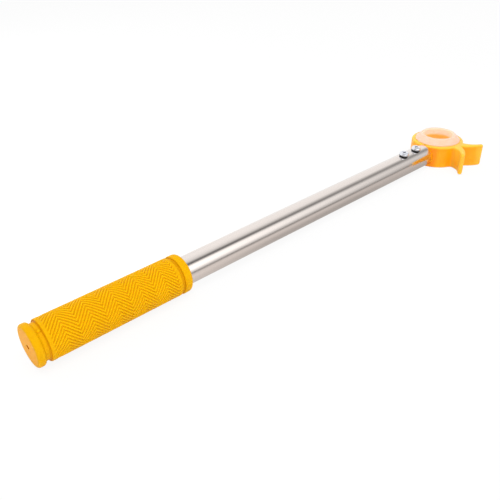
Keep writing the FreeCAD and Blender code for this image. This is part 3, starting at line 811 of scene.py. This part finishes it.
# Where the head's marks of painted light (rims, ears) and painted shade (corner) fade in and out. Rims:
# down from the head's top. Corner: behind the ring's axis, across the bar, and down from the top. Ears:
# how far out they start, their tips, and the line along their middle, as its start, its spread and the
# fade beyond it
RIM_FADE = (-0.0022, -0.0003)
CORNER_BEHIND = (0.0190, 0.0230)
CORNER_ACROSS = (-0.0165, -0.0125, -0.002, 0.006)
CORNER_TOP = (-0.0020, 0.0)
EARS_OUT = (0.0235, 0.0290)
TIPS_OUT = (0.0380, 0.0425)
EAR_START = 0.004
EAR_SPREAD = 1.055
EAR_FADE = (0.0, 0.0010)
EAR_MARK = 0.75


def head_marks(s, points, in_shell):
    """The edge mark is painted light, 1 at the rims and EAR_MARK on the ears' outer sides and tips; the
    corner mark is painted shade, 1 on the ring beside the tube, below its rim."""
    x, y, z = points.T
    # Corner mark, for the painted shade beside the tube
    corner = smooth_step(*CORNER_BEHIND, -x) * between(y, *CORNER_ACROSS)
    corner = corner * (1 - smooth_step(*CORNER_TOP, z - s.half))
    rims = smooth_step(*RIM_FADE, np.abs(z) - s.half) * in_shell
    middle = EAR_START + EAR_SPREAD * (-y - s.floor)
    ears = smooth_step(*EARS_OUT, -y) * smooth_step(*EAR_FADE, np.abs(x) - middle)
    ears = np.maximum(smooth_step(*TIPS_OUT, -y), ears)
    return {"edge": np.maximum(rims, EAR_MARK * ears), "corner": corner}


def make_head(s):
    """Head: ring, ears and eye from head_shell, and the shoulder and spigot as a stepped lathe."""
    chamfer, in_ring = 0.001, -0.0200
    profile = np.array([[in_ring, 0.0], [in_ring, s.half], [-s.ring, s.half], [-s.ring, s.spigot],
                        [s.spigot_end + chamfer, s.spigot], [s.spigot_end, s.spigot - chamfer],
                        [s.spigot_end, 0.0]])
    shell = head_shell(s)
    points, faces = join([shell, capped_lathe(profile, 96)])
    marks = head_marks(s, points, np.arange(len(points)) < len(shell[0]))
    piece = make_piece("head", points, faces, ["head_housing"], plastic_material(s),
                       marks)
    piece.data.set_sharp_from_angle(angle=math.radians(50))
    return piece


# Fades of the liner's marks: round the ring's rim, out from the sleeve by a share, out from the bore
BACKED_RIM = (-0.0022, 0.0006)
LIP_FADE = (0.0, 0.0006)
LIP_SHARE = 0.85
HOLE_FADE = (0.0, 0.0008)


def make_liner(s, columns=192):
    """Liner surface: the section (r, z) turned about Z, so a point is (r cos t, r sin t, z). The backed
    mark is 1 where the housing is behind it, and the hole mark is 1 on the bore's wall."""
    corners = [(s.bore, s.foot), (s.sleeve, s.foot), (s.sleeve, s.rim), (s.lip, s.rim),
               (s.lip, s.rim + s.lip_edge), (s.crest, s.top), (s.bore, s.top)]
    rounds = [0.0003, 0.0003, 0.0002, 0.0002, 0.0004, s.crest_round, s.crest_round]
    profile = rounded_loop(corners, rounds, 0.0007)
    turns = full_turn(columns)
    r, z = profile[:, :1], profile[:, 1:]
    backed = 1 - smooth_step(*BACKED_RIM, z - s.rim) + 0 * turns
    backed = backed * (1 - LIP_SHARE * smooth_step(*LIP_FADE, r - s.sleeve))
    hole = 1 - smooth_step(*HOLE_FADE, r - s.bore) + 0 * turns
    faces = [grid_faces(len(profile), columns, True, True)]
    return make_piece("liner", upright_lathe(r, z, turns), faces, ["ring_liner"],
                      liner_material(s), {"backed": backed, "hole": hole})


def screw_points(s, station, count=120):
    """Pan-head screw about Z, then leaned about X: the top is z = height - dome(r) - recess(r, t),
    where the recess has the depth of a smooth step of the distance inside a cross."""
    turns = full_turn(count)
    flat = s.head - s.head_round
    t = np.linspace(0, math.pi / 2, 8)
    near, gap, point, slot_wall, rise = 0.0001, 0.0002, 0.0006, 0.0003, 0.45
    top = np.linspace(near, flat - near, 26)
    shank = np.array([(s.shank, -gap), (s.shank, point - s.reach), (s.shank - point, -s.reach)])
    r = np.concatenate([top, flat + s.head_round * np.sin(t), [s.head - near, s.shank + gap]])
    z = np.concatenate([0 * top, s.head_round * (np.cos(t) - 1), [-s.height, -s.height]]) + s.height
    r, z = np.concatenate([r, shank[:, 0]])[:, None], np.concatenate([z, shank[:, 1]])[:, None]
    u, v = np.abs(r * np.cos(turns)), np.abs(r * np.sin(turns))
    in_slot = np.maximum(np.minimum(s.slot - u, s.recess - v), np.minimum(s.slot - v, s.recess - u))
    recess = smooth_step(0, slot_wall, in_slot) * (1 - rise * np.clip(r / s.recess, 0, 1) ** 2)
    recess = recess * (z > s.height - s.head_round)
    points = upright_lathe(r, s.seat + z - s.depth * recess, turns).reshape(-1, 3)
    ends = np.array([[0, 0, s.seat + s.height - s.depth], [0, 0, s.seat - s.reach]])
    # Recess mark, for its painted shade
    marks = np.concatenate([recess.ravel(), [1.0, 0.0]])
    points = lean_over(np.concatenate([points, ends]), s, station)
    return points, capped_faces(len(r), count), marks


def lean_over(points, s, station):
    """Points about the tube's axis turned by the screws' lean, and moved to a screw's place."""
    turned = np.array([[1, 0, 0], [0, math.cos(s.lean), -math.sin(s.lean)],
                       [0, math.sin(s.lean), math.cos(s.lean)]])
    return points @ turned.T + np.array([station, 0, 0])


def washer_points(s, station, count=96):
    """Washer: a ring-shaped section (r, z) with broken edges turned about Z, then leaned."""
    corners = [(s.washer_bore, s.washer_foot), (s.washer, s.washer_foot), (s.washer, s.seat),
               (s.washer_bore, s.seat)]
    profile = rounded_loop(corners, [0.0001, 0.00025, 0.00025, 0.0001], 0.0008)
    points = upright_lathe(profile[:, :1], profile[:, 1:], full_turn(count)).reshape(-1, 3)
    return lean_over(points, s, station), [grid_faces(len(profile), count, True, True)]


def make_screws(s):
    """Both screws with their washers, and the plating on the hidden nuts."""
    zinc, washer_black_and_shadow = zinc_material(s), washer_material(s)
    for name, station in (("front", s.front), ("rear", s.rear)):
        points, faces, marks = screw_points(s, station)
        piece = make_piece(f"screw_{name}", points, faces, [f"{name}_screw"], zinc,
                           {"recess": marks})
        piece.data.set_sharp_from_angle(angle=math.radians(60))
        points, faces = washer_points(s, station)
        make_piece(f"washer_{name}", points, faces, [f"{name}_washer"], washer_black_and_shadow)
        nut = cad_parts[f"{name}_nut"]
        nut.data.materials.clear()
        nut.data.materials.append(zinc)


# Stage

# Light of the floor in reflections: its ramp's ends across the bar, (place on the ramp, light value)
# stops, and the warm tint on the fork side
FLOOR_RAMP = (-0.15, 0.05)
FLOOR_MIRRORED = [(0.0, 0.26), (0.2, 0.32), (0.45, 0.60), (0.6, 0.65), (0.68, 0.54), (0.76, 0.48),
                  (1.0, 1.0)]
FLOOR_WARM = (1.03, 0.955, 0.905)
# Two places along the bar and the mirrored light's factors there; two across it and the tint's shares
FLOOR_ALONG = (-0.35, -0.08, 1.30, 0.94)
FLOOR_FRONT = (-0.01, 0.02, 1.0, 0.0)
# Share of the floor's light that is its own, to the camera and in reflections
FLOOR_GLOW = 0.90
# Dimmer patch of the floor that the tube's middle mirrors: two ranges across the bar, two along it,
# each as two places and the values there
PATCH_ACROSS = ((-0.045, -0.015, 0.0, 1.0), (-0.012, 0.0, 1.0, 0.0))
PATCH_ALONG = ((-0.32, -0.24, 0.0, 1.0), (-0.13, -0.09, 1.0, 0.25))
PATCH_LIGHT = 0.72


def light_ramp(tree, value, stops, tint=(1, 1, 1)):
    """A colour ramp's node, through (place on the ramp, light value) stops."""
    ramp = add_node(tree, "ValToRGB", {"Fac": value})
    elements = ramp.color_ramp.elements
    for at, light in stops[1:-1]:
        elements.new(at)
    for element, (at, light) in zip(elements, stops):
        element.position = at
        element.color = (*dimmed(tint, light), 1)
    return ramp


def seen_directly(tree, path):
    """1 for the camera's own rays and those that go on through a clear thing."""
    return math_node(tree, "MAXIMUM", path["Is Camera Ray"], path["Is Transmission Ray"])


def floor_material(s):
    """Pale floor: white to the camera apart from the object's shadow. In reflections it has the light
    of a ramp across the bar, more towards the grip, less in a patch, and warm on the fork side."""
    material, tree = new_material("pale_floor")
    path = add_node(tree, "LightPath").outputs
    coordinates = add_node(tree, "TexCoord").outputs["Object"]
    tone = mix_colour(tree, noise(tree, coordinates, 40.0), s.floor, dimmed(s.floor, 0.985))
    matt = add_node(tree, "BsdfDiffuse", {"Color": tone}).outputs[0]
    seen, glossy = seen_directly(tree, path), path["Is Glossy Ray"]
    amount = math_node(tree, "MULTIPLY", math_node(tree, "MAXIMUM", seen, glossy), FLOOR_GLOW)
    split = add_node(tree, "SeparateXYZ", {0: coordinates}).outputs
    away = light_ramp(tree, scale_range(tree, split["Y"], *FLOOR_RAMP, 0.0, 1.0), FLOOR_MIRRORED)
    along = scale_range(tree, split["X"], *FLOOR_ALONG)
    mirrored = math_node(tree, "MULTIPLY", away.outputs[0], along)
    under = math_node(tree, "MINIMUM", *[scale_range(tree, split["Y"], *part) for part in PATCH_ACROSS])
    beside = math_node(tree, "MINIMUM", *[scale_range(tree, split["X"], *part) for part in PATCH_ALONG])
    patch = math_node(tree, "MULTIPLY", under, beside)
    dimmer = scale_range(tree, patch, 0.0, 1.0, 1.0, PATCH_LIGHT)
    mirrored = math_node(tree, "MULTIPLY", mirrored, dimmer)
    front = scale_range(tree, split["Y"], *FLOOR_FRONT)
    tint = mix_colour(tree, math_node(tree, "MULTIPLY", front, glossy), (1, 1, 1), FLOOR_WARM)
    strength = math_node(tree, "MAXIMUM", mirrored, seen)
    white = add_node(tree, "Emission", {"Color": tint, "Strength": strength}).outputs[0]
    mixed = add_node(tree, "MixShader", {0: amount, 1: matt, 2: white})
    add_node(tree, "OutputMaterial", {0: mixed.outputs[0]})
    return material


# Light all round the bar: direction as degrees from straight up towards the fork side, light value,
# for light square to the bar and along it. A ramp holds no more than 1, so its full light stands for 2
SURROUND_NEAR = [(-180, 0.62), (-104, 0.85), (-92, 1.15), (-72, 1.02), (-58, 1.10), (-40, 1.12),
                 (-26, 1.05), (-10, 0.94), (4, 0.80), (14, 0.08), (25, 0.08), (32, 0.98), (40, 1.62),
                 (66, 1.64), (80, 0.94), (92, 0.46), (122, 0.66), (180, 0.62)]
SURROUND_FAR = [(-180, 0.45), (-104, 0.85), (-92, 1.12), (-72, 1.05), (-58, 1.04), (-40, 1.04),
                (-26, 1.02), (-12, 1.06), (0, 0.58), (12, 0.34), (24, 0.35), (36, 0.67), (48, 0.81),
                (60, 0.76), (76, 0.62), (92, 0.40), (122, 0.55), (180, 0.42)]
SURROUND_FULL = 2.0
SURROUND_TINT = (1.0, 0.985, 0.97)
# How much of a direction runs along the bar, where the near light gives way to the far one
NEAR_TO_FAR = (0.45, 0.78)


def surround_ramp(tree, turned, stops):
    """The light values of a list of directions, as a smooth ramp from -180 to 180 degrees."""
    stops = [((degrees + 180) / 360, value / SURROUND_FULL) for degrees, value in stops]
    ramp = light_ramp(tree, turned, stops, SURROUND_TINT)
    ramp.color_ramp.interpolation = "B_SPLINE"
    return ramp.outputs[0]


def make_world(s):
    """White to the camera; an even soft light for matt surfaces; soft boxes and the gaps between them,
    which run along the bar, for glossy ones."""
    world = bpy.data.worlds.new("studio")
    bpy.context.scene.world = world
    world.use_nodes = True
    tree = world.node_tree
    tree.nodes.clear()
    direction = add_node(tree, "TexCoord").outputs["Generated"]
    split = add_node(tree, "SeparateXYZ", {0: direction}).outputs
    forward = math_node(tree, "MULTIPLY", split["Y"], -1.0)
    turned = math_node(tree, "ARCTAN2", forward, split["Z"])
    turned = scale_range(tree, turned, -math.pi, math.pi, 0.0, 1.0)
    near, far = [surround_ramp(tree, turned, stops) for stops in (SURROUND_NEAR, SURROUND_FAR)]
    share_far = scale_range(tree, math_node(tree, "ABSOLUTE", split["X"]), *NEAR_TO_FAR, 0.0, 1.0)
    boxes = mix_colour(tree, share_far, near, far)
    path = add_node(tree, "LightPath").outputs
    white = (1, 1, 1, 1)
    soft, shine, plain = [
        add_node(tree, "Background", {"Color": tone, "Strength": strength}).outputs[0]
        for tone, strength in ((white, s.sky), (boxes, SURROUND_FULL), (white, 1.0))]
    lit = add_node(tree, "MixShader", {0: path["Is Glossy Ray"], 1: soft, 2: shine})
    seen = add_node(tree, "MixShader", {0: seen_directly(tree, path), 1: lit.outputs[0], 2: plain})
    add_node(tree, "OutputWorld", {0: seen.outputs[0]})


def placement(right, upward, forward, eye):
    """Placement of a camera or lamp at a point: its own -Z looks forward."""
    matrix = np.eye(4)
    matrix[:3] = np.stack([right, upward, -forward, np.array(eye)], -1)
    return Matrix(matrix.tolist())


def make_lamp(name, eye, target, size, power):
    """A large soft lamp that glossy surfaces don't mirror, because the world holds the soft boxes."""
    light = bpy.data.lights.new(name, "AREA")
    light.shape = "RECTANGLE"
    light.size, light.size_y = size
    light.energy = power
    lamp = new_object(name, light)
    forward = unit(np.array(target) - np.array(eye))
    right = unit(np.cross(forward, [0, 0, 1.0]))
    lamp.matrix_world = placement(right, np.cross(right, forward), forward, eye)
    lamp.visible_glossy = False


def make_camera(s):
    """Camera with its axes worked out from yaw, pitch and roll."""
    yaw, pitch, roll = s.yaw, s.pitch, s.roll
    forward = np.array([-math.sin(yaw) * math.cos(pitch), math.cos(yaw) * math.cos(pitch),
                        -math.sin(pitch)])
    right = np.array([math.cos(yaw), math.sin(yaw), 0])
    upward = np.cross(right, forward)
    rolled = right * math.cos(roll) + upward * math.sin(roll)
    upward = upward * math.cos(roll) - right * math.sin(roll)
    data = bpy.data.cameras.new("camera")
    data.sensor_width = 36.0
    data.lens = s.lens
    data.clip_start = 0.01
    data.clip_end = 50.0
    camera = new_object("camera", data)
    camera.matrix_world = placement(rolled, upward, forward, s.eye)
    bpy.context.scene.camera = camera


def make_floor(s):
    """Floor under the lying bar: a plane z = low + slope x just under the bead's and the head's lowest
    lines, so that the bar rests on it as it is."""
    bead_x, bead_low = -0.340, -0.0151
    ring_x, head_low = 0.0261, -0.0111
    reach, gap = 4.0, 0.0001
    slope = (head_low - bead_low) / (ring_x - bead_x)
    x = np.array([-reach, reach, reach, -reach])
    y = np.array([-reach, -reach, reach, reach])
    z = bead_low + slope * (x - bead_x) - gap
    mesh = bpy.data.meshes.new("floor")
    mesh.from_pydata(np.stack([x, y, z], -1).tolist(), [], [(0, 1, 2, 3)])
    mesh.materials.append(floor_material(s))
    floor = new_object("floor", mesh)


def make_stage(s):
    """Camera, floor, world and lamps."""
    bpy.context.scene.view_settings.view_transform = "Standard"
    make_camera(s)
    make_floor(s)
    make_world(s)
    make_lamp("key", (-0.25, -0.45, 1.35), (-0.2, 0, 0), (1.2, 0.9), s.key)
    make_lamp("fill", (-0.9, -0.95, 0.28), (-0.2, 0, 0), (0.8, 0.5), s.fill)
    make_lamp("back", (-0.45, 0.75, 0.45), (0.0, 0, 0), (0.6, 0.6), s.back)


# Add-on

class TowBarSettings(bpy.types.PropertyGroup):
    """All settings of the tow bar."""
    grip: PointerProperty(type=GripSettings)
    tube: PointerProperty(type=TubeSettings)
    head: PointerProperty(type=HeadSettings)
    liner: PointerProperty(type=LinerSettings)
    screws: PointerProperty(type=ScrewSettings)
    stage: PointerProperty(type=StageSettings)


class TOWBAR_OT_grip(bpy.types.Operator):
    """Makes the ribbed rubber grip"""
    bl_idname = "towbar.grip"
    bl_label = "Rubber grip"

    def execute(self, context):
        make_grip(context.scene.tow_bar.grip)
        return {"FINISHED"}


class TOWBAR_OT_tube(bpy.types.Operator):
    """Makes the polished steel tube"""
    bl_idname = "towbar.tube"
    bl_label = "Steel tube"

    def execute(self, context):
        make_tube(context.scene.tow_bar.tube)
        return {"FINISHED"}


class TOWBAR_OT_head(bpy.types.Operator):
    """Makes the moulded head with its ring, ears and spigot"""
    bl_idname = "towbar.head"
    bl_label = "Moulded head"

    def execute(self, context):
        make_head(context.scene.tow_bar.head)
        return {"FINISHED"}


class TOWBAR_OT_liner(bpy.types.Operator):
    """Makes the soft liner of the ring"""
    bl_idname = "towbar.liner"
    bl_label = "Soft liner"

    def execute(self, context):
        make_liner(context.scene.tow_bar.liner)
        return {"FINISHED"}


class TOWBAR_OT_screws(bpy.types.Operator):
    """Makes both screws with their washers, and plates the nuts"""
    bl_idname = "towbar.screws"
    bl_label = "Screws, washers and nuts"

    def execute(self, context):
        make_screws(context.scene.tow_bar.screws)
        return {"FINISHED"}


class TOWBAR_OT_stage(bpy.types.Operator):
    """Makes the camera, the floor and the light"""
    bl_idname = "towbar.stage"
    bl_label = "Stage"

    def execute(self, context):
        make_stage(context.scene.tow_bar.stage)
        return {"FINISHED"}


OPERATORS = (TOWBAR_OT_grip, TOWBAR_OT_tube, TOWBAR_OT_head, TOWBAR_OT_liner, TOWBAR_OT_screws,
             TOWBAR_OT_stage)


class TOWBAR_PT_panel(bpy.types.Panel):
    """Lists the tow bar's pieces in the sidebar"""
    bl_idname = "TOWBAR_PT_panel"
    bl_label = "Hand tow bar"
    bl_space_type = "VIEW_3D"
    bl_region_type = "UI"
    bl_category = "Tow bar"

    def draw(self, context):
        for operator in OPERATORS:
            self.layout.operator(operator.bl_idname)


CLASSES = (GripSettings, TubeSettings, HeadSettings, LinerSettings, ScrewSettings, StageSettings,
           TowBarSettings, *OPERATORS, TOWBAR_PT_panel)


def register():
    for item in CLASSES:
        bpy.utils.register_class(item)
    bpy.types.Scene.tow_bar = PointerProperty(type=TowBarSettings)


def unregister():
    del bpy.types.Scene.tow_bar
    for item in reversed(CLASSES):
        bpy.utils.unregister_class(item)


def main():
    register()
    bpy.ops.towbar.grip()
    bpy.ops.towbar.tube()
    bpy.ops.towbar.head()
    bpy.ops.towbar.liner()
    bpy.ops.towbar.screws()
    bpy.ops.towbar.stage()


if __name__ == "__main__":
    main()
